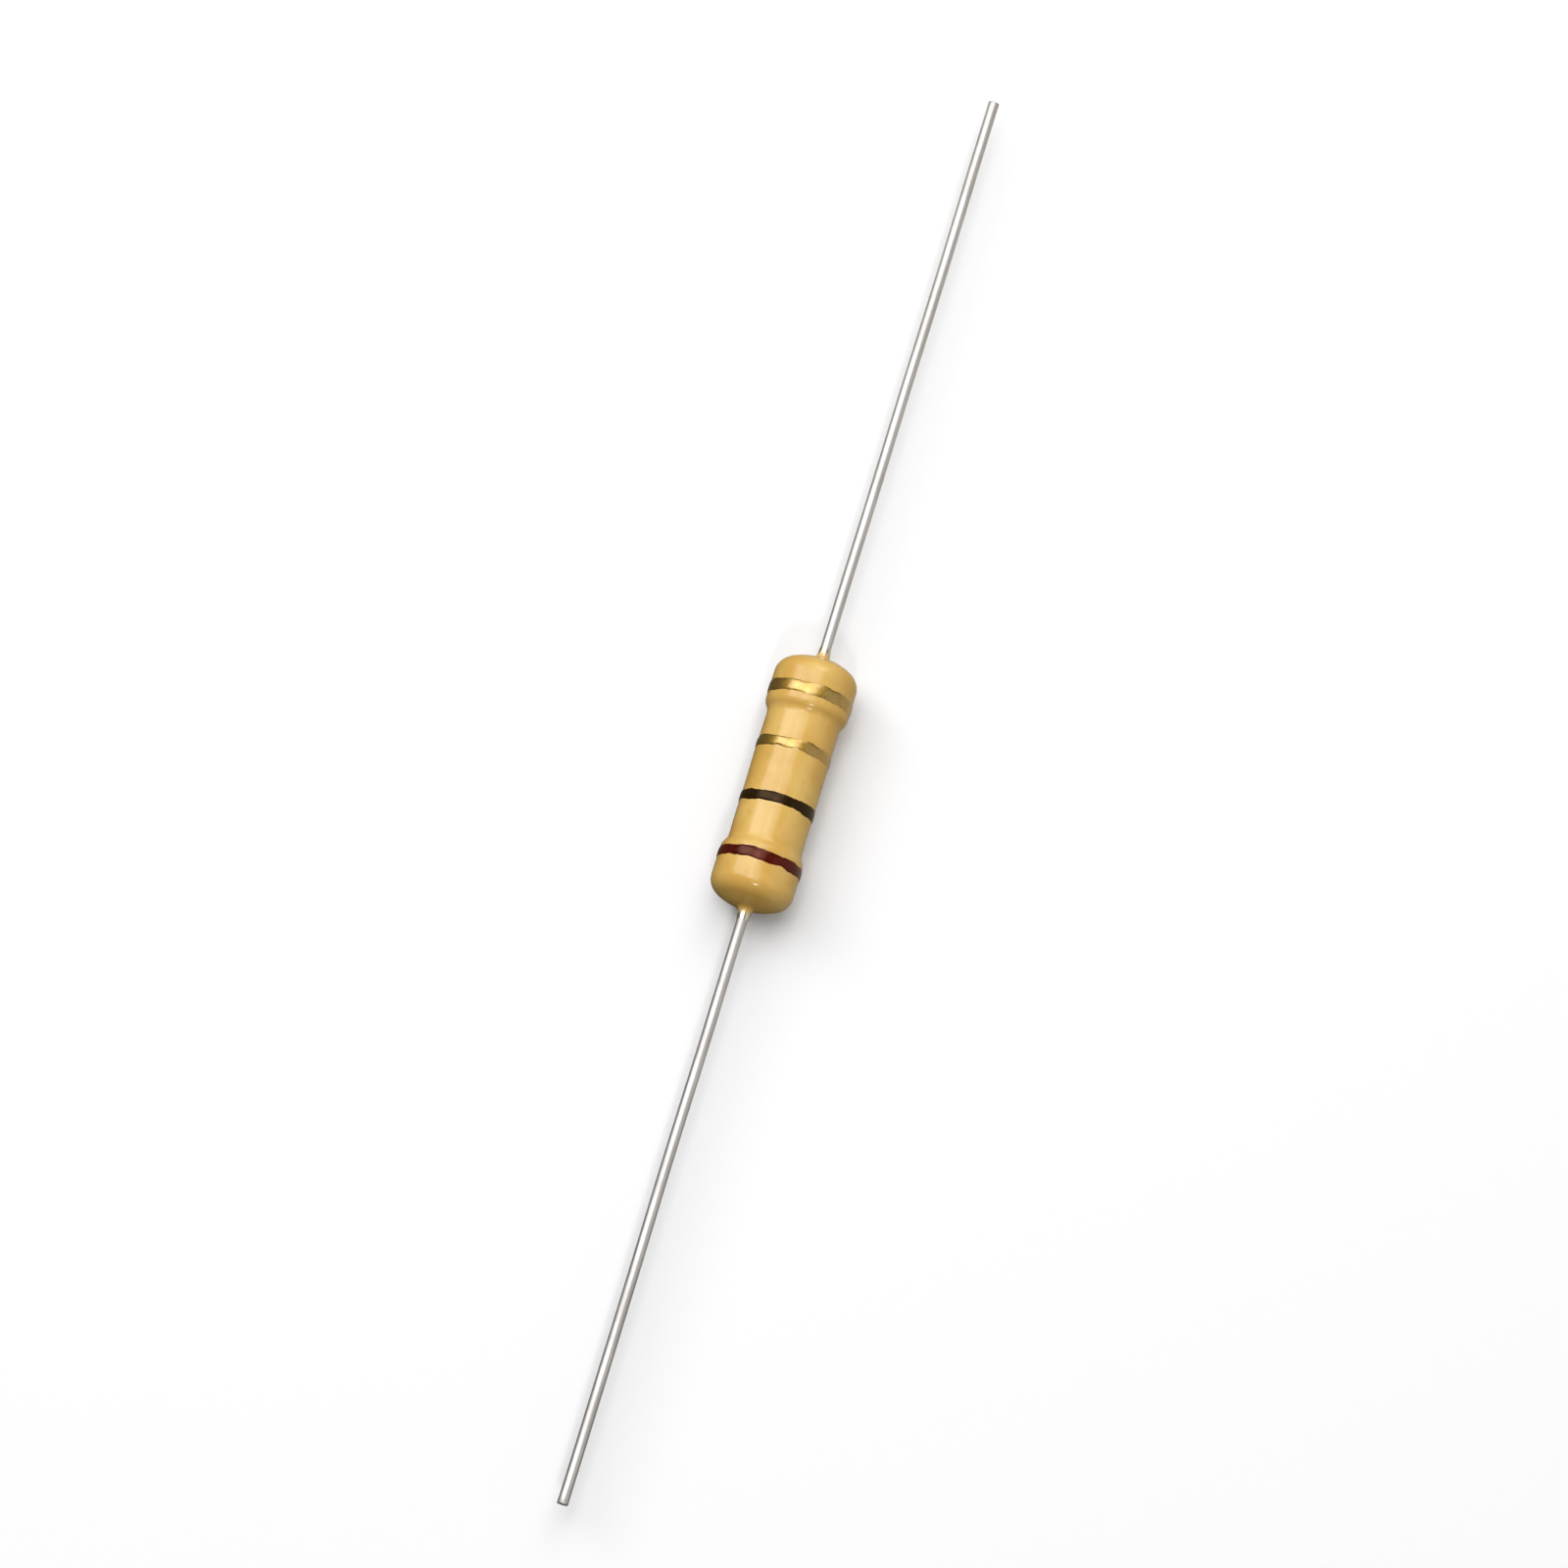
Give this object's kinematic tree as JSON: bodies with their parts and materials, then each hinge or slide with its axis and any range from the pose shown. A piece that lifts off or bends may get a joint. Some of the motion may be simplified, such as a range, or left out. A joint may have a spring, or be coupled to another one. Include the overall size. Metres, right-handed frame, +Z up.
{
  "type": "axial resistor",
  "caption": "Axial film resistor with a glossy lacquered dog-bone body, painted colour bands and straight tinned wire leads, for limiting current in a circuit.",
  "frame": {"origin": "middle of the body, on its axis", "axes": "+X along the leads, from the first digit band's end to the tolerance band's end; +Z up as it lies"},
  "size_m": [0.062, 0.0036, 0.0036],
  "materials": {
    "ceramic": "matte",
    "carbon": "satin",
    "cap_steel": "satin",
    "tinned_wire": "satin",
    "lacquer": "gloss",
    "red_paint": "gloss",
    "black_paint": "gloss",
    "gold_paint": "satin"
  },
  "bodies": {
    "root": {"ceramic_rod": "ceramic", "carbon_film": "carbon", "left_cap": "cap_steel", "right_cap": "cap_steel", "left_lead": "tinned_wire", "right_lead": "tinned_wire", "lacquer_coat": "lacquer", "first_digit_band": "red_paint", "second_digit_band": "black_paint", "multiplier_band": "gold_paint", "tolerance_band": "gold_paint"}
  },
  "joints": []
}
